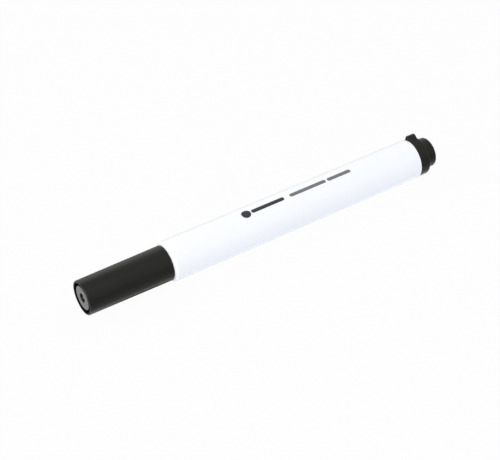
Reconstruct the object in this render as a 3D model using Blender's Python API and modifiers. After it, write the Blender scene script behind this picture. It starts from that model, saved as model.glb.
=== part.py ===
"""A slim bullet-tip whiteboard marker, capped and lying on its side.

The marker's axis runs along X, with the cap's end at -X and the end plug at +X. The barrel rests on z = 0
and the anti-roll tab is on top. Each turned piece is a profile of (radius, station, fillet) corners, where a
station is a distance along the axis from the cap's end. All lengths are in metres.
"""

from math import cos, pi, sin, tan

import bmesh
import bpy
from mathutils import Matrix, Vector

# Driving dimensions
LENGTH = 0.1353
BARREL_RADIUS = 0.0069
BARREL_WALL = 0.0011
BARREL_REAR = 0.12765
CAP_LENGTH = 0.0301
CAP_END_RADIUS = 0.0059
CAP_MOUTH_RADIUS = 0.00605
CAP_WALL = 0.0007
SEAL_RADIUS = 0.00415
SEAL_MOUTH = 0.0155
FLANGE_RADIUS = 0.0067
FLANGE_REAR = 0.13155
BOSS_RADIUS = 0.00515
NECK_RADIUS = 0.0048
NOSE_RADIUS = 0.0033
NOSE_WALL = 0.0005
NOSE_FRONT = 0.0105
HOLDER_REAR = 0.0380
NIB_RADIUS = 0.0022
NIB_TIP = 0.0054
CORE_REAR = 0.1152
LIP_LENGTH = 0.0012
GAP = 0.0003

# The anti-roll tab's cross-section, measured from the marker's axis
TAB_TOP_RADIUS = 0.0083
TAB_TOP_WIDTH = 0.00104
TAB_FOOT_RADIUS = 0.0060
TAB_FOOT_WIDTH = 0.00424
TAB_REAR = 0.13085

# Ribs inside the barrel, inside the nose and outside the cap's seal
RIB_HEIGHT = 0.0004
RIB_WIDTH = 0.0008

# Sizes that follow from the driving dimensions
BARREL_FRONT = CAP_LENGTH + GAP
BORE_RADIUS = BARREL_RADIUS - BARREL_WALL
FITTED_RADIUS = BORE_RADIUS - GAP
LIP_REAR = BARREL_FRONT + LIP_LENGTH
CORE_FRONT = HOLDER_REAR + GAP
PLUG_FRONT = CORE_REAR + GAP
FILM_RADIUS = BORE_RADIUS - RIB_HEIGHT - GAP
FILM_THICKNESS = 0.0002
CORE_RADIUS = FILM_RADIUS - FILM_THICKNESS - GAP
NOSE_BORE = NOSE_RADIUS - NOSE_WALL
NIB_CLEARANCE_RADIUS = NIB_RADIUS + GAP
CAP_BORE = CAP_END_RADIUS - CAP_WALL
SEAL_BORE = NOSE_RADIUS + GAP

# Smoothness
FINE_STEPS = 48
COARSE_STEPS = 32
CORNER_STEPS = 2
MERGE_DISTANCE = 0.00001

# A flat of the turned barrel lies on z = 0
AXIS_HEIGHT = BARREL_RADIUS * cos(pi / FINE_STEPS)


def clear_scene():
    for scene_object in list(bpy.data.objects):
        bpy.data.objects.remove(scene_object, do_unlink=True)


def new_collection(name):
    collection = bpy.data.collections.new(name)
    bpy.context.scene.collection.children.link(collection)
    return collection


def new_axis(name, parent=None):
    """An empty on the marker's axis, whose own Z runs from the cap towards the plug."""
    empty = bpy.data.objects.new(name, None)
    empty.empty_display_size = BARREL_RADIUS
    marker.objects.link(empty)
    empty.parent = parent
    return empty


def new_material(name, colour, roughness):
    material = bpy.data.materials.new(name)
    material.use_nodes = True
    shader = material.node_tree.nodes["Principled BSDF"]
    shader.inputs["Base Color"].default_value = (*colour, 1)
    shader.inputs["Roughness"].default_value = roughness
    shader.inputs["Metallic"].default_value = 0
    return material


def rounded(corners):
    """The points of an outline whose (radius, station, fillet) corners are each rounded by an arc."""
    points = []
    for index, (radius, station, fillet) in enumerate(corners):
        corner = Vector((radius, station))
        if fillet == 0:
            points.append(corner)
            continue
        following = corners[(index + 1) % len(corners)]
        before = (Vector(corners[index - 1][:2]) - corner).normalized()
        after = (Vector(following[:2]) - corner).normalized()
        half_angle = before.angle(after) / 2
        centre = corner + (before + after).normalized() * (fillet / sin(half_angle))
        reach = fillet / tan(half_angle)
        start = (corner + before * reach - centre).normalized()
        end = (corner + after * reach - centre).normalized()
        for step in range(CORNER_STEPS + 1):
            points.append(centre + start.slerp(end, step / CORNER_STEPS) * fillet)
    return points


def turned(name, corners, material, parent, steps=FINE_STEPS):
    """A solid of revolution. Its outline runs down the outside, from rear to front, and back inside.

    A tube's outline closes on itself. One that starts on the axis also ends there.
    """
    points = rounded(corners)
    edges = [(index, index + 1) for index in range(len(points) - 1)]
    if corners[0][0] > 0:
        edges.append((len(points) - 1, 0))
    mesh = bpy.data.meshes.new(name)
    mesh.from_pydata([(point.x, 0, point.y) for point in points], edges, [])
    mesh.materials.append(material)
    piece = bpy.data.objects.new(name, mesh)
    marker.objects.link(piece)
    piece.parent = parent
    piece.rotation_euler = (0, 0, pi / steps)
    screw = piece.modifiers.new("turn", "SCREW")
    screw.steps = steps
    screw.render_steps = steps
    screw.use_merge_vertices = True
    screw.merge_threshold = MERGE_DISTANCE
    screw.use_smooth_shade = True
    return piece


def keep_flats_flat(piece):
    shading = piece.modifiers.new("flats", "WEIGHTED_NORMAL")
    shading.keep_sharp = True


def new_tool(name, mesh, parent):
    """A hidden shape that a Boolean joins to a piece."""
    tool = bpy.data.objects.new(name, mesh)
    cutters.objects.link(tool)
    tool.parent = parent
    tool.hide_render = True
    tool.display_type = "WIRE"
    return tool


def join(piece, tool):
    union = piece.modifiers.new("join_" + tool.name, "BOOLEAN")
    union.operation = "UNION"
    union.solver = "EXACT"
    union.object = tool


def ribs(name, count, inner, outer, front, rear, parent):
    """Bars along the axis, set evenly round it from the inner to the outer radius."""
    shape = bmesh.new()
    for index in range(count):
        bar = bmesh.ops.create_cube(shape, size=1)["verts"]
        bmesh.ops.scale(shape, vec=(outer - inner, RIB_WIDTH, rear - front), verts=bar)
        bmesh.ops.translate(shape, vec=((inner + outer) / 2, 0, (front + rear) / 2), verts=bar)
        turn = Matrix.Rotation(2 * pi * index / count, 3, "Z")
        bmesh.ops.rotate(shape, cent=(0, 0, 0), matrix=turn, verts=bar)
    mesh = bpy.data.meshes.new(name)
    shape.to_mesh(mesh)
    shape.free()
    return new_tool(name, mesh, parent)


def build_barrel(material, parent):
    """The tube. A lip at its front stops the nib holder, and six ribs inside centre the ink store."""
    lip_radius = NECK_RADIUS + 0.0004
    edge = 0.0002
    front_edge = 0.0008
    barrel = turned("barrel", [
        (BARREL_RADIUS, BARREL_REAR, edge),
        (BARREL_RADIUS, BARREL_FRONT, front_edge),
        (lip_radius, BARREL_FRONT, edge),
        (lip_radius, LIP_REAR, 0),
        (BORE_RADIUS, LIP_REAR, 0),
        (BORE_RADIUS, BARREL_REAR, 0),
    ], material, parent)
    rib_foot = BORE_RADIUS + BARREL_WALL / 2
    rib_crest = BORE_RADIUS - RIB_HEIGHT
    join(barrel, ribs("barrel_ribs", 6, rib_crest, rib_foot, CORE_FRONT + GAP, CORE_REAR - GAP, barrel))
    keep_flats_flat(barrel)


def build_nib_holder(material, parent):
    """The collar behind the barrel's lip, the neck with the bead that the cap snaps over, and the nose."""
    collar_front = LIP_REAR + GAP
    edge = 0.0002
    bead = 0.0268
    bead_foot = 0.0006
    bead_crest = 0.0003
    bead_radius = NECK_RADIUS + 0.00015
    neck_front = 0.0206
    nose_rear = 0.0185
    shoulder_bend = 0.0004
    nose_bore_rear = 0.0240
    wide_bore_front = 0.0255
    wide_bore = 0.0036
    holder = turned("nib_holder", [
        (FITTED_RADIUS, HOLDER_REAR, edge),
        (FITTED_RADIUS, collar_front, 0),
        (NECK_RADIUS, collar_front, 0),
        (NECK_RADIUS, bead + bead_foot, 0),
        (bead_radius, bead + bead_crest, 0),
        (bead_radius, bead - bead_crest, 0),
        (NECK_RADIUS, bead - bead_foot, 0),
        (NECK_RADIUS, neck_front, shoulder_bend),
        (NOSE_RADIUS, nose_rear, shoulder_bend),
        (NOSE_RADIUS, NOSE_FRONT, edge),
        (NOSE_BORE, NOSE_FRONT, 0),
        (NOSE_BORE, nose_bore_rear, 0),
        (wide_bore, wide_bore_front, 0),
        (wide_bore, HOLDER_REAR, 0),
    ], material, parent)
    rib_foot = NOSE_BORE + NOSE_WALL / 2
    rib_front = NOSE_FRONT + GAP
    rib_rear = nose_bore_rear - GAP
    join(holder, ribs("nose_ribs", 4, NIB_CLEARANCE_RADIUS, rib_foot, rib_front, rib_rear, holder))
    keep_flats_flat(holder)


def build_nib(material, parent):
    """A fibre rod with a bullet-shaped tip. Its rear end sits in the ink store."""
    rear = CORE_FRONT + 0.0047
    rear_edge = 0.0004
    tip_radius = 0.00145
    tip_edge = 0.0010
    taper_rear = NIB_TIP + 0.0034
    taper_bend = 0.0020
    nib = turned("nib", [
        (0, rear, 0),
        (NIB_RADIUS, rear, rear_edge),
        (NIB_RADIUS, taper_rear, taper_bend),
        (tip_radius, NIB_TIP, tip_edge),
        (0, NIB_TIP, 0),
    ], material, parent, COARSE_STEPS)
    keep_flats_flat(nib)


def build_ink_reservoir(material, parent):
    """The fibre core, hollow at the front where it takes the nib's rear end."""
    hollow_rear = CORE_FRONT + 0.0050
    edge = 0.0002
    core = turned("ink_reservoir", [
        (0, CORE_REAR, 0),
        (CORE_RADIUS, CORE_REAR, edge),
        (CORE_RADIUS, CORE_FRONT, edge),
        (NIB_CLEARANCE_RADIUS, CORE_FRONT, 0),
        (NIB_CLEARANCE_RADIUS, hollow_rear, 0),
        (0, hollow_rear, 0),
    ], material, parent, COARSE_STEPS)
    keep_flats_flat(core)


def build_reservoir_film(material, parent):
    """The film wound round the core, a little shorter than the core at both ends."""
    inner = FILM_RADIUS - FILM_THICKNESS
    front = CORE_FRONT + GAP
    rear = CORE_REAR - GAP
    film = turned("reservoir_film", [
        (FILM_RADIUS, rear, 0),
        (FILM_RADIUS, front, 0),
        (inner, front, 0),
        (inner, rear, 0),
    ], material, parent)
    keep_flats_flat(film)


def build_end_plug(material, parent):
    """The boss that the cap posts on, the flange with the anti-roll tab, and a hollow skirt in the barrel."""
    flange_front = BARREL_REAR + GAP
    flange_edge = 0.0006
    boss_edge = 0.0005
    skirt_edge = 0.0004
    skirt_bore = 0.0043
    hollow_rear = FLANGE_REAR + 0.0020
    plug = turned("end_plug", [
        (0, LENGTH, 0),
        (BOSS_RADIUS, LENGTH, boss_edge),
        (BOSS_RADIUS, FLANGE_REAR, 0),
        (FLANGE_RADIUS, FLANGE_REAR, flange_edge),
        (FLANGE_RADIUS, flange_front, 0),
        (FITTED_RADIUS, flange_front, 0),
        (FITTED_RADIUS, PLUG_FRONT, skirt_edge),
        (skirt_bore, PLUG_FRONT, 0),
        (skirt_bore, hollow_rear, 0),
        (0, hollow_rear, 0),
    ], material, parent)
    join(plug, anti_roll_tab(flange_front, parent))
    keep_flats_flat(plug)


def anti_roll_tab(front, parent):
    """A bar along the flange's upper side, narrower at its top than at its foot."""
    tab_edge = 0.0002
    height = TAB_TOP_RADIUS - TAB_FOOT_RADIUS
    shape = bmesh.new()
    bar = bmesh.ops.create_cube(shape, size=1)["verts"]
    bmesh.ops.scale(shape, vec=(height, TAB_FOOT_WIDTH, TAB_REAR - front), verts=bar)
    top = [corner for corner in bar if corner.co.x < 0]
    bmesh.ops.scale(shape, vec=(1, TAB_TOP_WIDTH / TAB_FOOT_WIDTH, 1), verts=top)
    middle = -(TAB_TOP_RADIUS + TAB_FOOT_RADIUS) / 2
    bmesh.ops.translate(shape, vec=(middle, 0, (front + TAB_REAR) / 2), verts=bar)
    mesh = bpy.data.meshes.new("tab")
    shape.to_mesh(mesh)
    shape.free()
    tab = new_tool("tab", mesh, parent)
    bevel = tab.modifiers.new("round", "BEVEL")
    bevel.width = tab_edge
    bevel.segments = 2
    return tab


def build_cap_shell(material, parent):
    """The cap's outer tube, a little wider at its mouth than at its end."""
    step_front = 0.0160
    step_rear = 0.0170
    mouth_bore = NECK_RADIUS + 0.0005
    lip = 0.0006
    rim_edge = 0.0002
    inner_edge = 0.0001
    shell = turned("cap_shell", [
        (CAP_MOUTH_RADIUS, CAP_LENGTH, lip),
        (CAP_END_RADIUS, 0, rim_edge),
        (CAP_BORE, 0, inner_edge),
        (CAP_BORE, step_front, 0),
        (mouth_bore, step_rear, 0),
        (mouth_bore, CAP_LENGTH, inner_edge),
    ], material, parent)
    keep_flats_flat(shell)


def build_cap_inner_seal(material, parent):
    """The cup that closes over the nose. Its six ribs stand in the shell, with air passages between them."""
    disc_front = 0.0001
    disc_edge = 0.0002
    recess_radius = 0.0016
    recess_floor = disc_front + 0.0012
    gate_radius = 0.0004
    gate_front = disc_front + 0.0002
    cup_floor = disc_front + 0.0018
    floor_edge = 0.0006
    fine_edge = 0.0001
    seal = turned("cap_inner_seal", [
        (0, cup_floor, 0),
        (SEAL_BORE, cup_floor, floor_edge),
        (SEAL_BORE, SEAL_MOUTH, fine_edge),
        (SEAL_RADIUS, SEAL_MOUTH, fine_edge),
        (SEAL_RADIUS, disc_front, disc_edge),
        (recess_radius, disc_front, fine_edge),
        (recess_radius, recess_floor, 0),
        (gate_radius, recess_floor, 0),
        (gate_radius, gate_front, 0),
        (0, gate_front, 0),
    ], material, parent)
    rib_foot = (SEAL_BORE + SEAL_RADIUS) / 2
    rib_front = 0.0040
    rib_rear = SEAL_MOUTH - 0.0010
    join(seal, ribs("seal_ribs", 6, rib_foot, CAP_BORE - GAP, rib_front, rib_rear, parent))
    keep_flats_flat(seal)


clear_scene()
marker = new_collection("whiteboard_marker")
cutters = new_collection("cutters")

white_plastic = new_material("white_plastic", (0.86, 0.87, 0.90), 0.35)
black_plastic = new_material("black_plastic", (0.018, 0.017, 0.017), 0.32)
seal_plastic = new_material("seal_plastic", (0.02, 0.02, 0.02), 0.3)
nib_felt = new_material("nib_felt", (0.02, 0.02, 0.022), 0.9)
core_fibre = new_material("core_fibre", (0.10, 0.10, 0.11), 0.95)
wrap_film = new_material("wrap_film", (0.75, 0.78, 0.80), 0.2)

marker_axis = new_axis("marker_axis")
marker_axis.location = (-LENGTH / 2, 0, AXIS_HEIGHT)
marker_axis.rotation_euler = (0, pi / 2, 0)
cap_pull = new_axis("cap_pull", marker_axis)

build_barrel(white_plastic, marker_axis)
build_nib_holder(white_plastic, marker_axis)
build_nib(nib_felt, marker_axis)
build_ink_reservoir(core_fibre, marker_axis)
build_reservoir_film(wrap_film, marker_axis)
build_end_plug(black_plastic, marker_axis)
build_cap_shell(black_plastic, cap_pull)
build_cap_inner_seal(seal_plastic, cap_pull)
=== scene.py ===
"""The looks of a slim whiteboard marker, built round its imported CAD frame.

Every piece is turned about the marker's axis from an outline of (x, radius) points, in metres. Angles run
round the axis from the top, where the anti-roll tab is, towards +Y.
"""

from math import cos, hypot, pi, radians, sin, tan

import bmesh
import bpy
from mathutils import Matrix, Vector


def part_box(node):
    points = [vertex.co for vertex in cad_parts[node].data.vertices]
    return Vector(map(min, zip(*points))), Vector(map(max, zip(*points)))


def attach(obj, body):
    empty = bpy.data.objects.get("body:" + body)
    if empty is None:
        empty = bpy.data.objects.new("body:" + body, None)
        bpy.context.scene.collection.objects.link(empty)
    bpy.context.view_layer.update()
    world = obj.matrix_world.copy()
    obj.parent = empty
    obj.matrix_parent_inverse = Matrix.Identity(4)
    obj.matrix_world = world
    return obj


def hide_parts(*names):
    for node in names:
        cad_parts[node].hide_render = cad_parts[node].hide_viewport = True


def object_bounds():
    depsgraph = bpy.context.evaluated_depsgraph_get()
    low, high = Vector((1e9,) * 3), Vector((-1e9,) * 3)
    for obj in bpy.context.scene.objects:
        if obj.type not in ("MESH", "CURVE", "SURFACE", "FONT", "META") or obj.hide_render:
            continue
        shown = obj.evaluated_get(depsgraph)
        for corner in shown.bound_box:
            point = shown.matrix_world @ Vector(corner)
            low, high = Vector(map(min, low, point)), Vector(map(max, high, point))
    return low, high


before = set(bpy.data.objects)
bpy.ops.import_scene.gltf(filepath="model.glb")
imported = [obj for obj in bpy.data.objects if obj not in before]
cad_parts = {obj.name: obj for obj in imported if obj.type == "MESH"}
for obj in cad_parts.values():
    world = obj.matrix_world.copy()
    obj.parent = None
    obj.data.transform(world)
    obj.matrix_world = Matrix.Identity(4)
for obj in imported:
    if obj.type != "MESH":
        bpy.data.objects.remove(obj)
cad_low, cad_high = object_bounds()

MM = 0.001

# The gap between pieces that fit together
SEAM = 0.05 * MM

# Places along the axis, from the frame
CAP_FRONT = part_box("cap_shell")[0].x
CAP_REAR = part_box("cap_shell")[1].x
BARREL_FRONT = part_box("barrel")[0].x
BARREL_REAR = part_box("barrel")[1].x
HOLDER_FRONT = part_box("nib_holder")[0].x
HOLDER_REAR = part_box("nib_holder")[1].x
NIB_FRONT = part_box("nib")[0].x
NIB_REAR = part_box("nib")[1].x
CORE_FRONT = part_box("ink_reservoir")[0].x
CORE_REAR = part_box("ink_reservoir")[1].x
FILM_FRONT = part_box("reservoir_film")[0].x
FILM_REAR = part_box("reservoir_film")[1].x
SEAL_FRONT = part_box("cap_inner_seal")[0].x
SEAL_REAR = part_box("cap_inner_seal")[1].x
PLUG_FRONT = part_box("end_plug")[0].x
PLUG_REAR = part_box("end_plug")[1].x
AXIS_Z = (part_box("barrel")[0].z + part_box("barrel")[1].z) / 2


def half_width(node):
    low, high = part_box(node)
    return (high.y - low.y) / 2


# Radii, from the frame
BARREL_RADIUS = half_width("barrel")
CAP_MOUTH_RADIUS = half_width("cap_shell")
FLANGE_RADIUS = half_width("end_plug")
COLLAR_RADIUS = half_width("nib_holder")
NIB_RADIUS = half_width("nib")
CORE_RADIUS = half_width("ink_reservoir")
FILM_RADIUS = half_width("reservoir_film")
TAB_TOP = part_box("end_plug")[1].z - AXIS_Z

# Sizes that the frame's boxes don't show
CAP_END_RADIUS = 5.88 * MM
CAP_WALL = 0.6 * MM
MOUTH_BORE = 5.3 * MM
BORE_RADIUS = 5.8 * MM
LIP_RADIUS = 5.2 * MM
LIP_LENGTH = 1.2 * MM
NECK_RADIUS = 4.8 * MM
NOSE_RADIUS = 3.3 * MM
NOSE_BORE = 2.8 * MM
SEAL_RADIUS = 4.14 * MM
SEAL_BORE = 3.6 * MM
BOSS_RADIUS = 5.12 * MM
FLANGE_LENGTH = 3.9 * MM
TAB_LENGTH = 3.18 * MM

# Fineness of the meshes
CORNER_STEPS = 6
ROUND_STEPS = 192
EDGE_STEPS = 3
SMOOTH_BELOW = radians(38)
TAB_DEGREES = 20
TAB_STEPS_PER_DEGREE = 4
ON_AXIS = 1e-7
SAME_ANGLE = 1e-3


# Outlines

def rounded(corners):
    """The outline through (x, radius, fillet) corners, each rounded by an arc of its fillet."""
    points = []
    for index, (x, radius, fillet) in enumerate(corners):
        corner = Vector((x, radius))
        if fillet == 0:
            points.append(corner)
            continue
        following = corners[(index + 1) % len(corners)]
        before = (Vector(corners[index - 1][:2]) - corner).normalized()
        after = (Vector(following[:2]) - corner).normalized()
        half_angle = before.angle(after) / 2
        centre = corner + (before + after).normalized() * (fillet / sin(half_angle))
        reach = fillet / tan(half_angle)
        start = (corner + before * reach - centre).normalized()
        end = (corner + after * reach - centre).normalized()
        for step in range(CORNER_STEPS + 1):
            points.append(centre + start.slerp(end, step / CORNER_STEPS) * fillet)
    return points


def even_angles():
    return [2 * pi * index / ROUND_STEPS for index in range(ROUND_STEPS)]


def turned(name, outline, body, node, angles=None, layers=()):
    """A closed piece turned about the axis.

    Its outline runs in one direction round the turned section. Each layer is (another outline of as many
    points, a function of the angle): the piece leaves its plain outline for the layer's where the function
    is 1, and keeps it where it is 0.
    """
    angles = angles or even_angles()
    shape = bmesh.new()
    rings = []
    for index, point in enumerate(outline):
        if point.y < ON_AXIS:
            rings.append([shape.verts.new((point.x, 0, AXIS_Z))])
            continue
        ring = []
        for angle in angles:
            place = point.copy()
            for other, share in layers:
                place += (other[index] - point) * share(angle)
            ring.append(shape.verts.new((place.x, place.y * sin(angle), AXIS_Z + place.y * cos(angle))))
        rings.append(ring)
    pairs = list(zip(rings, rings[1:]))
    if len(rings[0]) > 1:
        pairs.append((rings[-1], rings[0]))
    for first, second in pairs:
        for index in range(len(angles)):
            following = (index + 1) % len(angles)
            corners = [
                first[index % len(first)],
                first[following % len(first)],
                second[following % len(second)],
                second[index % len(second)],
            ]
            shape.faces.new(list(dict.fromkeys(corners)))
    bmesh.ops.recalc_face_normals(shape, faces=shape.faces)
    return piece_from(shape, name, body, node)


def piece_from(shape, name, body, node=None):
    mesh = bpy.data.meshes.new(name)
    shape.to_mesh(mesh)
    shape.free()
    mesh.shade_smooth()
    mesh.set_sharp_from_angle(angle=SMOOTH_BELOW)
    piece = bpy.data.objects.new(name, mesh)
    bpy.context.scene.collection.objects.link(piece)
    weighted = piece.modifiers.new("normals", "WEIGHTED_NORMAL")
    weighted.keep_sharp = True
    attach(piece, body)
    if node:
        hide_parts(node)
    return piece


def smooth_step(value, low, high):
    share = min(1.0, max(0.0, (value - low) / (high - low)))
    return share * share * (3 - 2 * share)


def ribs_at(count, half_angle, edge):
    """A function of the angle that is 1 on each of the evenly spaced ribs, and the angles that show them."""
    pitch = 2 * pi / count

    def share(angle):
        off = abs((angle + pitch / 2) % pitch - pitch / 2)
        return 1 - smooth_step(off, half_angle - edge, half_angle + edge)

    extra = []
    for index in range(count):
        for side in (-1, 1):
            for step in range(-EDGE_STEPS, EDGE_STEPS + 1):
                angle = index * pitch + side * half_angle + step / EDGE_STEPS * edge
                extra.append(angle % (2 * pi))
    return share, sorted_angles(even_angles() + extra)


def sorted_angles(angles):
    """The angles in order, without near repeats."""
    kept = []
    for angle in sorted(angles):
        if not kept or angle - kept[-1] > SAME_ANGLE:
            kept.append(angle)
    return kept


# Materials

# Sockets of the colour mix node, which share their names with its other types' sockets
MIX_FIRST = 6
MIX_SECOND = 7
MIX_RESULT = 2


def new_material(name):
    material = bpy.data.materials.new(name)
    material.use_nodes = True
    return material, material.node_tree.nodes, material.node_tree.links


def noise_node(nodes, links, coordinates, scale, detail, stretch=(1, 1, 1)):
    mapping = nodes.new("ShaderNodeMapping")
    mapping.inputs["Scale"].default_value = stretch
    links.new(coordinates, mapping.inputs["Vector"])
    noise = nodes.new("ShaderNodeTexNoise")
    noise.inputs["Scale"].default_value = scale
    noise.inputs["Detail"].default_value = detail
    links.new(mapping.outputs["Vector"], noise.inputs["Vector"])
    return noise.outputs["Fac"]


def ranged(nodes, links, value, low, high, from_low=0.3, from_high=0.7):
    node = nodes.new("ShaderNodeMapRange")
    node.inputs["From Min"].default_value = from_low
    node.inputs["From Max"].default_value = from_high
    node.inputs["To Min"].default_value = low
    node.inputs["To Max"].default_value = high
    links.new(value, node.inputs["Value"])
    return node.outputs["Result"]


def combined(nodes, links, operation, first, *others):
    """One value from several, two at a time."""
    for other in others:
        node = nodes.new("ShaderNodeMath")
        node.operation = operation
        links.new(first, node.inputs[0])
        links.new(other, node.inputs[1])
        first = node.outputs["Value"]
    return first


def mixed(nodes, links, share, first, second):
    node = nodes.new("ShaderNodeMix")
    node.data_type = "RGBA"
    node.inputs[MIX_FIRST].default_value = (*first, 1)
    node.inputs[MIX_SECOND].default_value = (*second, 1)
    links.new(share, node.inputs["Factor"])
    return node.outputs[MIX_RESULT]


def bumped(nodes, links, height, distance, strength, normal=None):
    node = nodes.new("ShaderNodeBump")
    node.inputs["Strength"].default_value = strength
    node.inputs["Distance"].default_value = distance
    links.new(height, node.inputs["Height"])
    if normal:
        links.new(normal, node.inputs["Normal"])
    return node.outputs["Normal"]


def moulded_plastic(name, light, dark, rough_low, rough_high, specular, subsurface=0.0):
    """Injection-moulded plastic.

    It has faint flow shading, a satin sheen that varies along the draw, a soft ripple and a fine grain.
    """
    material, nodes, links = new_material(name)
    shader = nodes["Principled BSDF"]
    coordinates = nodes.new("ShaderNodeTexCoord").outputs["Object"]
    flow = noise_node(nodes, links, coordinates, scale=120, detail=3, stretch=(0.35, 1, 1))
    drawn = noise_node(nodes, links, coordinates, scale=900, detail=4, stretch=(0.05, 1, 1))
    grain = noise_node(nodes, links, coordinates, scale=9000, detail=2)
    ripple = noise_node(nodes, links, coordinates, scale=220, detail=1, stretch=(0.4, 1, 1))
    colour = mixed(nodes, links, ranged(nodes, links, flow, 0, 1), light, dark)
    links.new(colour, shader.inputs["Base Color"])
    links.new(ranged(nodes, links, drawn, rough_low, rough_high), shader.inputs["Roughness"])
    rippled = bumped(nodes, links, ripple, distance=0.01 * MM, strength=0.5)
    grained = bumped(nodes, links, grain, distance=0.002 * MM, strength=0.5, normal=rippled)
    links.new(grained, shader.inputs["Normal"])
    shader.inputs["Specular IOR Level"].default_value = specular
    if subsurface:
        shader.inputs["Subsurface Weight"].default_value = subsurface
        shader.inputs["Subsurface Radius"].default_value = (1.0, 1.0, 1.1)
        shader.inputs["Subsurface Scale"].default_value = 1.0 * MM
    return material


def fibre(name, light, dark, bump):
    """Bonded fibres that run along the axis."""
    material, nodes, links = new_material(name)
    shader = nodes["Principled BSDF"]
    coordinates = nodes.new("ShaderNodeTexCoord").outputs["Object"]
    strands = noise_node(nodes, links, coordinates, scale=6000, detail=3, stretch=(0.08, 1, 1))
    patches = noise_node(nodes, links, coordinates, scale=700, detail=2)
    colour = mixed(nodes, links, ranged(nodes, links, strands, 0, 1), dark, light)
    links.new(colour, shader.inputs["Base Color"])
    links.new(ranged(nodes, links, patches, 0.7, 0.95), shader.inputs["Roughness"])
    links.new(bumped(nodes, links, strands, bump, strength=0.8), shader.inputs["Normal"])
    shader.inputs["Specular IOR Level"].default_value = 0.25
    return material


def printed_ink(name, colour):
    """Screen-printed ink with a slightly uneven film."""
    material, nodes, links = new_material(name)
    shader = nodes["Principled BSDF"]
    coordinates = nodes.new("ShaderNodeTexCoord").outputs["Object"]
    cover = noise_node(nodes, links, coordinates, scale=3500, detail=4)
    thin_gain = 1.6
    thin_lift = 0.004
    lighter = tuple(value * thin_gain + thin_lift for value in colour)
    tint = mixed(nodes, links, ranged(nodes, links, cover, 0, 1), colour, lighter)
    links.new(tint, shader.inputs["Base Color"])
    links.new(ranged(nodes, links, cover, 0.45, 0.6), shader.inputs["Roughness"])
    links.new(bumped(nodes, links, cover, distance=0.004 * MM, strength=0.5), shader.inputs["Normal"])
    shader.inputs["Specular IOR Level"].default_value = 0.2
    return material


def film_material(name):
    """Pale film with faint wrinkles along the core."""
    material, nodes, links = new_material(name)
    shader = nodes["Principled BSDF"]
    coordinates = nodes.new("ShaderNodeTexCoord").outputs["Object"]
    wrinkles = noise_node(nodes, links, coordinates, scale=500, detail=3, stretch=(0.15, 1, 1))
    light = (0.55, 0.57, 0.6)
    dark = (0.35, 0.36, 0.39)
    tint = mixed(nodes, links, ranged(nodes, links, wrinkles, 0, 1), light, dark)
    links.new(tint, shader.inputs["Base Color"])
    links.new(ranged(nodes, links, wrinkles, 0.08, 0.25), shader.inputs["Roughness"])
    links.new(bumped(nodes, links, wrinkles, distance=0.03 * MM, strength=0.6), shader.inputs["Normal"])
    return material


# Pieces

def build_barrel(material):
    """The white tube, with the lip at its front, a rounded shoulder and six ribs inside."""
    shoulder = 1.2 * MM
    ramp = 0.6 * MM
    rib_front = HOLDER_REAR + ramp
    rib_rear = PLUG_FRONT - ramp
    rib_height = 0.4 * MM

    def outline(bore):
        return rounded([
            (BARREL_REAR, BARREL_RADIUS, 0.18 * MM),
            (BARREL_FRONT, BARREL_RADIUS, shoulder),
            (BARREL_FRONT, LIP_RADIUS, 0.15 * MM),
            (BARREL_FRONT + LIP_LENGTH, LIP_RADIUS, 0.10 * MM),
            (BARREL_FRONT + LIP_LENGTH, BORE_RADIUS, 0),
            (rib_front, BORE_RADIUS, 0),
            (rib_front + ramp, bore, 0),
            (rib_rear - ramp, bore, 0),
            (rib_rear, BORE_RADIUS, 0),
            (BARREL_REAR, BORE_RADIUS, 0.12 * MM),
        ])

    share, angles = ribs_at(count=6, half_angle=radians(3.6), edge=radians(0.8))
    layers = [(outline(BORE_RADIUS - rib_height), share)]
    barrel = turned(
        "barrel_tube", outline(BORE_RADIUS), "barrel", "barrel", angles, layers,
    )
    barrel.data.materials.append(material)


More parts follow.
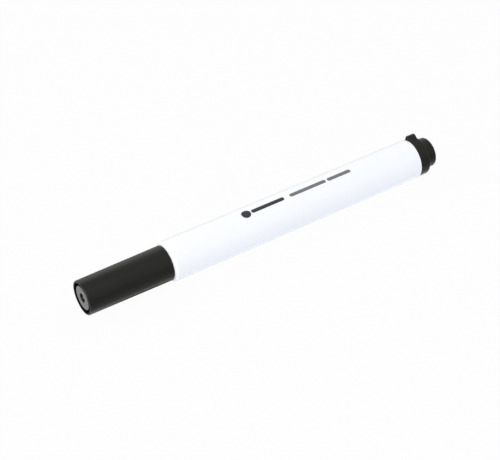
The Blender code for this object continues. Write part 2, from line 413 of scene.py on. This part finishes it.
def build_nib_holder(material):
    """Collar, neck with the notched snap bead, shoulder and nose. Four ribs in the nose grip the nib."""
    collar_front = BARREL_FRONT + LIP_LENGTH + SEAM
    bead = CAP_FRONT + 26.8 * MM
    bead_half = 0.55 * MM
    neck_front = CAP_FRONT + 20.6 * MM
    nose_rear = CAP_FRONT + 18.5 * MM
    bore_rear = CAP_FRONT + 24.0 * MM
    wide_bore = 3.6 * MM
    funnel = 1.5 * MM
    rib_front = HOLDER_FRONT + 0.3 * MM
    ramp = 0.5 * MM

    def outline(bead_radius, bore):
        return rounded([
            (HOLDER_REAR, COLLAR_RADIUS, 0.2 * MM),
            (collar_front, COLLAR_RADIUS, 0.1 * MM),
            (collar_front, NECK_RADIUS, 0),
            (bead + bead_half, NECK_RADIUS, 0.2 * MM),
            (bead, bead_radius, 0.3 * MM),
            (bead - bead_half, NECK_RADIUS, 0.2 * MM),
            (neck_front, NECK_RADIUS, 0.5 * MM),
            (nose_rear, NOSE_RADIUS, 0.6 * MM),
            (HOLDER_FRONT, NOSE_RADIUS, 0.2 * MM),
            (HOLDER_FRONT, NOSE_BORE, 0.1 * MM),
            (rib_front, NOSE_BORE, 0),
            (rib_front + ramp, bore, 0),
            (bore_rear - ramp, bore, 0),
            (bore_rear, NOSE_BORE, 0),
            (bore_rear + funnel, wide_bore, 0.3 * MM),
            (HOLDER_REAR, wide_bore, 0.1 * MM),
        ])

    bead_radius = NECK_RADIUS + 0.15 * MM
    notch_radius = NECK_RADIUS + 0.02 * MM
    rib_bore = NIB_RADIUS + SEAM
    rib_share, angles = ribs_at(count=4, half_angle=radians(7), edge=radians(1.5))
    notch_share, more = ribs_at(count=3, half_angle=radians(9), edge=radians(1.5))
    layers = [
        (outline(bead_radius, rib_bore), rib_share),
        (outline(notch_radius, NOSE_BORE), notch_share),
    ]
    holder = turned(
        "nib_holder_moulding", outline(bead_radius, NOSE_BORE), "barrel", "nib_holder",
        sorted_angles(angles + more), layers,
    )
    holder.data.materials.append(material)


def build_nib(material):
    """The bullet-shaped fibre nib."""
    bullet_rear = NIB_FRONT + 3.4 * MM
    bullet_tip = 1.45 * MM
    nib = turned("nib_rod", rounded([
        (NIB_REAR, 0, 0),
        (NIB_REAR, NIB_RADIUS, 0.4 * MM),
        (bullet_rear, NIB_RADIUS, 3.0 * MM),
        (NIB_FRONT, bullet_tip, 1.0 * MM),
        (NIB_FRONT, 0, 0),
    ]), "barrel", "nib")
    nib.data.materials.append(material)


def build_ink_core(material):
    """The fibre core, hollow where it takes the nib."""
    hollow_radius = NIB_RADIUS + SEAM
    hollow_rear = NIB_REAR + 0.1 * MM
    core = turned("ink_core", rounded([
        (CORE_REAR, 0, 0),
        (CORE_REAR, CORE_RADIUS, 0.3 * MM),
        (CORE_FRONT, CORE_RADIUS, 0.3 * MM),
        (CORE_FRONT, hollow_radius, 0.2 * MM),
        (hollow_rear, hollow_radius, 0),
        (hollow_rear, 0, 0),
    ]), "barrel", "ink_reservoir")
    core.data.materials.append(material)


def build_core_film(material):
    """The film round the core. It winds outwards to an overlap, which shows as a step."""
    inner = FILM_RADIUS - 0.2 * MM
    step = 0.08 * MM
    overlap = radians(1.0)

    def outline(outer):
        return rounded([
            (FILM_REAR, outer, 0),
            (FILM_FRONT, outer, 0),
            (FILM_FRONT, inner, 0),
            (FILM_REAR, inner, 0),
        ])

    def wound_in(angle):
        return 0 if angle < overlap else 1 - angle / (2 * pi)

    angles = sorted_angles(even_angles() + [overlap])
    layers = [(outline(FILM_RADIUS - step), wound_in)]
    film = turned(
        "core_film", outline(FILM_RADIUS), "barrel", "reservoir_film", angles, layers,
    )
    film.data.materials.append(material)


def tab_share(angle):
    """How far the anti-roll tab stands out of the flange at an angle, from 0 to 1."""
    top_half = 0.52 * MM
    foot_half = 1.57 * MM
    foot_radius = 6.8 * MM
    softness = 0.05 * MM
    reach = radians(40)
    off = abs((angle + pi) % (2 * pi) - pi)
    if off > reach:
        return 0.0
    top = TAB_TOP / cos(off)
    lean = (foot_half - top_half) / (TAB_TOP - foot_radius)
    side = (top_half + lean * TAB_TOP) / (sin(off) + lean * cos(off))
    crest = (top + side - hypot(top - side, softness)) / 2
    radius = (crest + FLANGE_RADIUS + hypot(crest - FLANGE_RADIUS, softness)) / 2
    return (radius - FLANGE_RADIUS) / (TAB_TOP - FLANGE_RADIUS)


def build_end_plug(material):
    """Skirt, flange with the anti-roll tab, and the boss with a shallow gate mark on its end."""
    flange_front = BARREL_REAR + SEAM
    flange_rear = BARREL_REAR + FLANGE_LENGTH
    skirt_radius = BORE_RADIUS - SEAM
    hollow = 4.3 * MM
    tab_rear = BARREL_REAR + TAB_LENGTH
    tab_lean = 0.2 * MM
    tab_edge = 0.2 * MM
    gate = 0.8 * MM
    gate_floor = PLUG_REAR - 0.12 * MM
    hollow_rear = flange_rear + 2.0 * MM
    raised = rounded([
        (gate_floor, 0, 0),
        (gate_floor, gate, 0.05 * MM),
        (PLUG_REAR, gate, 0.05 * MM),
        (PLUG_REAR, BOSS_RADIUS, 0.62 * MM),
        (flange_rear, BOSS_RADIUS, 0.12 * MM),
        (flange_rear, FLANGE_RADIUS, 0.45 * MM),
        (tab_rear + tab_lean, FLANGE_RADIUS, 0),
        (tab_rear, TAB_TOP, tab_edge),
        (flange_front, TAB_TOP, tab_edge),
        (flange_front, skirt_radius, 0),
        (PLUG_FRONT, skirt_radius, 0.4 * MM),
        (PLUG_FRONT, hollow, 0.2 * MM),
        (hollow_rear, hollow, 0.4 * MM),
        (hollow_rear, 0, 0),
    ])
    plain = []
    for point in raised:
        chamfer = min(tab_edge, max(0.0, tab_edge - (point.x - flange_front)))
        plain.append(Vector((point.x, min(point.y, FLANGE_RADIUS - chamfer))))
    steps = TAB_DEGREES * TAB_STEPS_PER_DEGREE
    extra = [radians(step / TAB_STEPS_PER_DEGREE) % (2 * pi) for step in range(-steps, steps + 1)]
    plug = turned(
        "end_plug_moulding", plain, "barrel", "end_plug",
        sorted_angles(even_angles() + extra), [(raised, tab_share)],
    )
    plug.data.materials.append(material)


def build_cap_tube(material):
    """The cap's outer tube, open at both ends and a little wider at the mouth."""
    bore = CAP_END_RADIUS - CAP_WALL
    mouth = BARREL_FRONT - SEAM
    step_front = CAP_FRONT + 16 * MM
    step_rear = CAP_FRONT + 17 * MM
    cap = turned("cap_tube", rounded([
        (mouth, CAP_MOUTH_RADIUS, 0.3 * MM),
        (CAP_FRONT, CAP_END_RADIUS, 0.3 * MM),
        (CAP_FRONT, bore, 0.12 * MM),
        (step_front, bore, 0),
        (step_rear, MOUTH_BORE, 0),
        (mouth, MOUTH_BORE, 0.1 * MM),
    ]), "cap", "cap_shell")
    cap.data.materials.append(material)


def build_cap_cup(material):
    """The inner cup, with its end disc, a gate stub in the disc's recess, and six ribs in the tube."""
    rib_front = CAP_FRONT + 4.0 * MM
    rib_rear = SEAL_REAR - 1.0 * MM
    ramp = 0.4 * MM
    disc_front = SEAL_FRONT + 0.12 * MM
    recess = 1.6 * MM
    recess_floor = disc_front + 1.2 * MM
    stub = 0.45 * MM
    stub_front = disc_front + 0.25 * MM
    floor = disc_front + 1.8 * MM
    rib_top = CAP_END_RADIUS - CAP_WALL - SEAM

    def outline(rib_radius):
        return rounded([
            (floor, 0, 0),
            (floor, SEAL_BORE, 0.6 * MM),
            (SEAL_REAR, SEAL_BORE, 0.2 * MM),
            (SEAL_REAR, SEAL_RADIUS, 0.15 * MM),
            (rib_rear, SEAL_RADIUS, 0),
            (rib_rear - ramp, rib_radius, 0),
            (rib_front + ramp, rib_radius, 0),
            (rib_front, SEAL_RADIUS, 0),
            (disc_front, SEAL_RADIUS, 0.12 * MM),
            (disc_front, recess, 0.1 * MM),
            (recess_floor, recess, 0.1 * MM),
            (recess_floor, stub, 0.05 * MM),
            (stub_front, stub, 0.12 * MM),
            (stub_front, 0, 0),
        ])

    share, angles = ribs_at(count=6, half_angle=radians(5), edge=radians(1))
    layers = [(outline(rib_top), share)]
    cup = turned(
        "cap_cup", outline(SEAL_RADIUS), "cap", "cap_inner_seal", angles, layers,
    )
    cup.data.materials.append(material)


# Print

PRINT_ANGLE = radians(24.2)
PRINT_FILM = 0.012 * MM
PRINT_ARC_STEPS = 24
STRONG_BAR_HEIGHT = 1.5 * MM
SOFT_BAR_HEIGHT = 1.4 * MM
DOT_WIDTH = 3.3 * MM


def printed_patch(name, stations, half_height, material):
    """A film of ink that follows the barrel's curve.

    Stations are distances from the cap's front, and the half height is a function of the station.
    """
    shape = bmesh.new()
    rows = 10
    sheets = []
    for lift in (-PRINT_FILM, PRINT_FILM):
        radius = BARREL_RADIUS + lift
        sheet = []
        for station in stations:
            column = []
            for row in range(rows + 1):
                distance = half_height(station) * (2 * row / rows - 1)
                angle = distance / BARREL_RADIUS - PRINT_ANGLE
                place = (CAP_FRONT + station, radius * sin(angle), AXIS_Z + radius * cos(angle))
                column.append(shape.verts.new(place))
            sheet.append(column)
        sheets.append(sheet)
    low, high = sheets
    last = len(stations) - 1
    for step in range(last):
        for row in range(rows):
            for sheet in sheets:
                first, second = sheet[step], sheet[step + 1]
                shape.faces.new((first[row], first[row + 1], second[row + 1], second[row]))
        for row in (0, rows):
            shape.faces.new((low[step][row], low[step + 1][row], high[step + 1][row], high[step][row]))
    for step in (0, last):
        for row in range(rows):
            shape.faces.new((low[step][row], low[step][row + 1], high[step][row + 1], high[step][row]))
    bmesh.ops.recalc_face_normals(shape, faces=shape.faces)
    patch = piece_from(shape, name, "barrel")
    patch.data.materials.append(material)


def printed_bar(name, start, length, height, material):
    """A bar with rounded ends. A bar as long as it is high is a dot."""
    bend = height / 2
    middle = start + length / 2
    straight = length / 2 - bend
    turns = [-cos(pi * step / PRINT_ARC_STEPS) for step in range(1, PRINT_ARC_STEPS)]
    stations = [middle - straight + bend * turn for turn in turns if turn <= 0]
    stations += [
        middle + straight + bend * turn
        for turn in turns
        if turn > 0 or (turn == 0 and straight > 0)
    ]

    def half_height(station):
        past = max(0.0, abs(station - middle) - straight)
        return bend * (1 - (past / bend) ** 2) ** 0.5

    printed_patch(name, stations, half_height, material)


def build_print():
    """A dot and plain bars stand where the real marker's print is."""
    strong = printed_ink("print_ink_strong", (0.03, 0.03, 0.033))
    soft = printed_ink("print_ink_soft", (0.13, 0.13, 0.14))
    printed_bar("print_dot", 58.95 * MM, DOT_WIDTH, DOT_WIDTH, strong)
    printed_bar("print_bar_strong", 62.6 * MM, 12.7 * MM, STRONG_BAR_HEIGHT, strong)
    printed_bar("print_bar_soft_1", 77.5 * MM, 14.35 * MM, SOFT_BAR_HEIGHT, soft)
    printed_bar("print_bar_soft_2", 92.45 * MM, 9.35 * MM, SOFT_BAR_HEIGHT, soft)


# Stage

FLOOR_SIZE = 2.0
FLOOR_GAP = 0.02 * MM
FLOOR_SEEN = (0.965, 0.965, 0.965)
FLOOR_LIGHT = (0.90, 0.925, 0.985)

# Ramps of painted reflection in the floor's brightness, seen only in the marker's reflections: (first value,
# last value, start, end).
# These run along Y, from in front of the marker to behind it
MIRRORED_FRONT = (0.45, 0.72, -12 * MM, -8.5 * MM)
# A painted highlight: a bright line in the floor's reflection under the marker's front side
PAINTED_HIGHLIGHT_LINE = (1.0, 2.2, -4.8 * MM, -4.3 * MM)
# A painted shadow: the floor goes dark in reflections under the marker, from its front side back
PAINTED_SHADOW_UNDER = (1.0, 0.0, -3.8 * MM, -3.0 * MM)
MIRRORED_PAST = (0.0, 0.62, 3 * MM, 6 * MM)
MIRRORED_BACK = (1.0, 0.2, 12 * MM, 24 * MM)
# These run along X, from the cap's end towards the barrel
MIRRORED_SIDE = (1.0, 0.0, CAP_FRONT - 3 * MM, CAP_FRONT + 3 * MM)
MIRRORED_END = (0.62, 0.0, CAP_FRONT + 2 * MM, CAP_FRONT + 16 * MM)
MIRRORED_BARREL = (0.0, 0.5, BARREL_FRONT - 2 * MM, BARREL_FRONT + 2 * MM)


def painted_floor_reflection(nodes, links):
    """How bright the floor is in the marker's reflections, all of it painted reflection.

    It is brightest along a line under the marker's front side, a painted highlight, and dark from there to
    its rear side, a painted shadow of the marker, though less so under the barrel and the cap's end. It is
    dimmer further in front, and also further behind except past the cap's end.
    """
    places = nodes.new("ShaderNodeSeparateXYZ")
    links.new(nodes.new("ShaderNodeNewGeometry").outputs["Position"], places.inputs["Vector"])
    along = places.outputs["X"]
    across = places.outputs["Y"]
    in_front = ranged(nodes, links, across, *MIRRORED_FRONT)
    behind = ranged(nodes, links, across, *MIRRORED_BACK)
    beside = ranged(nodes, links, along, *MIRRORED_SIDE)
    around = combined(nodes, links, "MAXIMUM", behind, beside)
    # Painted highlight line in the floor's reflection
    line = ranged(nodes, links, across, *PAINTED_HIGHLIGHT_LINE)
    under = ranged(nodes, links, across, *PAINTED_SHADOW_UNDER)
    past = ranged(nodes, links, across, *MIRRORED_PAST)
    barrel = ranged(nodes, links, along, *MIRRORED_BARREL)
    end = ranged(nodes, links, along, *MIRRORED_END)
    # Painted shadow under the marker, less deep under the barrel and the cap's end
    painted_shadow_beneath = combined(nodes, links, "MAXIMUM", under, past, barrel, end)
    return combined(nodes, links, "MULTIPLY", in_front, around, line, painted_shadow_beneath)


def build_floor():
    """A white light table, which lights the marker from below a little more coolly than it looks. The
    marker's reflections see a painted reflection on it instead, with a painted highlight line and a painted
    shadow under the marker.
    """
    shape = bmesh.new()
    bmesh.ops.create_grid(shape, x_segments=4, y_segments=4, size=FLOOR_SIZE)
    mesh = bpy.data.meshes.new("floor")
    shape.to_mesh(mesh)
    shape.free()
    floor = bpy.data.objects.new("floor", mesh)
    floor.location = (0, 0, cad_low.z - FLOOR_GAP)
    bpy.context.scene.collection.objects.link(floor)
    material, nodes, links = new_material("floor_panel")
    shader = nodes["Principled BSDF"]
    shader.inputs["Base Color"].default_value = (0.02, 0.02, 0.02, 1)
    shader.inputs["Roughness"].default_value = 0.9
    shader.inputs["Specular IOR Level"].default_value = 0.0
    path = nodes.new("ShaderNodeLightPath").outputs
    seen = mixed(nodes, links, path["Is Camera Ray"], FLOOR_LIGHT, FLOOR_SEEN)
    # Glossy rays see the painted reflection and painted shadow ramps instead of the even glow
    glow = nodes.new("ShaderNodeMix")
    glow.data_type = "RGBA"
    links.new(path["Is Glossy Ray"], glow.inputs["Factor"])
    links.new(seen, glow.inputs[MIX_FIRST])
    links.new(painted_floor_reflection(nodes, links), glow.inputs[MIX_SECOND])
    links.new(glow.outputs[MIX_RESULT], shader.inputs["Emission Color"])
    shader.inputs["Emission Strength"].default_value = 1.0
    mesh.materials.append(material)


def softbox(name, place, size, power):
    """An area light that faces the marker."""
    lamp = bpy.data.lights.new(name, "AREA")
    lamp.shape = "RECTANGLE"
    lamp.size, lamp.size_y = size
    lamp.energy = power
    box = bpy.data.objects.new(name, lamp)
    box.location = place
    box.rotation_euler = (-Vector(place)).to_track_quat("-Z", "Y").to_euler()
    bpy.context.scene.collection.objects.link(box)


def build_light():
    """Soft light from all round, two large softboxes, and a small one that lights the cap's end."""
    world = bpy.data.worlds.new("studio")
    bpy.context.scene.world = world
    world.use_nodes = True
    background = world.node_tree.nodes["Background"]
    background.inputs["Color"].default_value = (1.0, 1.0, 1.0, 1)
    background.inputs["Strength"].default_value = 0.8
    softbox("back_softbox", place=(-0.1, 0.75, 0.75), size=(1.2, 0.6), power=1.5)
    softbox("side_softbox", place=(-1.1, -0.12, 0.2), size=(0.16, 0.16), power=2.4)
    softbox("front_softbox", place=(-0.4, -0.58, 0.75), size=(1.2, 0.9), power=3.35)
    bpy.context.scene.view_settings.view_transform = "Standard"


# The camera's place is measured from the middle of the cap's front
VIEW_AZIMUTH = radians(-25.908)
VIEW_ELEVATION = radians(24.752)
VIEW_ROLL = radians(-11.577)
VIEW_LENS = 116.85
VIEW_SENSOR = 36
VIEW_PLACE = Vector((-149.52, -435.82, 222.29)) * MM


def build_camera():
    """A long lens from the cap's end and above, rolled so that the marker rises to the right."""
    back = Vector((
        sin(VIEW_AZIMUTH) * cos(VIEW_ELEVATION),
        -cos(VIEW_AZIMUTH) * cos(VIEW_ELEVATION),
        sin(VIEW_ELEVATION),
    ))
    level = Vector((cos(VIEW_AZIMUTH), sin(VIEW_AZIMUTH), 0))
    rise = back.cross(level)
    across = level * cos(VIEW_ROLL) + rise * sin(VIEW_ROLL)
    up = rise * cos(VIEW_ROLL) - level * sin(VIEW_ROLL)
    place = Vector((CAP_FRONT, 0, AXIS_Z)) + VIEW_PLACE
    turn = Matrix((across, up, back)).transposed().to_4x4()
    camera = bpy.data.objects.new("camera", bpy.data.cameras.new("camera"))
    camera.data.sensor_width = VIEW_SENSOR
    camera.data.lens = VIEW_LENS
    camera.data.clip_start = 0.01
    camera.matrix_world = Matrix.Translation(place) @ turn
    bpy.context.scene.collection.objects.link(camera)
    bpy.context.scene.camera = camera


white = moulded_plastic(
    "white_plastic", light=(0.90, 0.92, 0.95), dark=(0.885, 0.905, 0.945),
    rough_low=0.30, rough_high=0.38, specular=0.45, subsurface=0.15,
)
black = moulded_plastic(
    "black_plastic", light=(0.0115, 0.0112, 0.0090), dark=(0.0090, 0.0087, 0.0067),
    rough_low=0.30, rough_high=0.38, specular=0.22,
)
felt = fibre("nib_felt", light=(0.03, 0.03, 0.032), dark=(0.006, 0.006, 0.007), bump=0.03 * MM)
core_fibre = fibre("core_fibre", light=(0.12, 0.12, 0.13), dark=(0.02, 0.02, 0.025), bump=0.05 * MM)
sheen_black = moulded_plastic(
    "seal_plastic", light=(0.024, 0.0235, 0.023), dark=(0.016, 0.0155, 0.015),
    rough_low=0.10, rough_high=0.17, specular=0.64,
)
build_barrel(white)
build_nib_holder(white)
build_nib(felt)
build_ink_core(core_fibre)
build_core_film(film_material("wrap_film"))
build_end_plug(black)
build_cap_tube(black)
build_cap_cup(sheen_black)
build_print()
build_floor()
build_light()
build_camera()
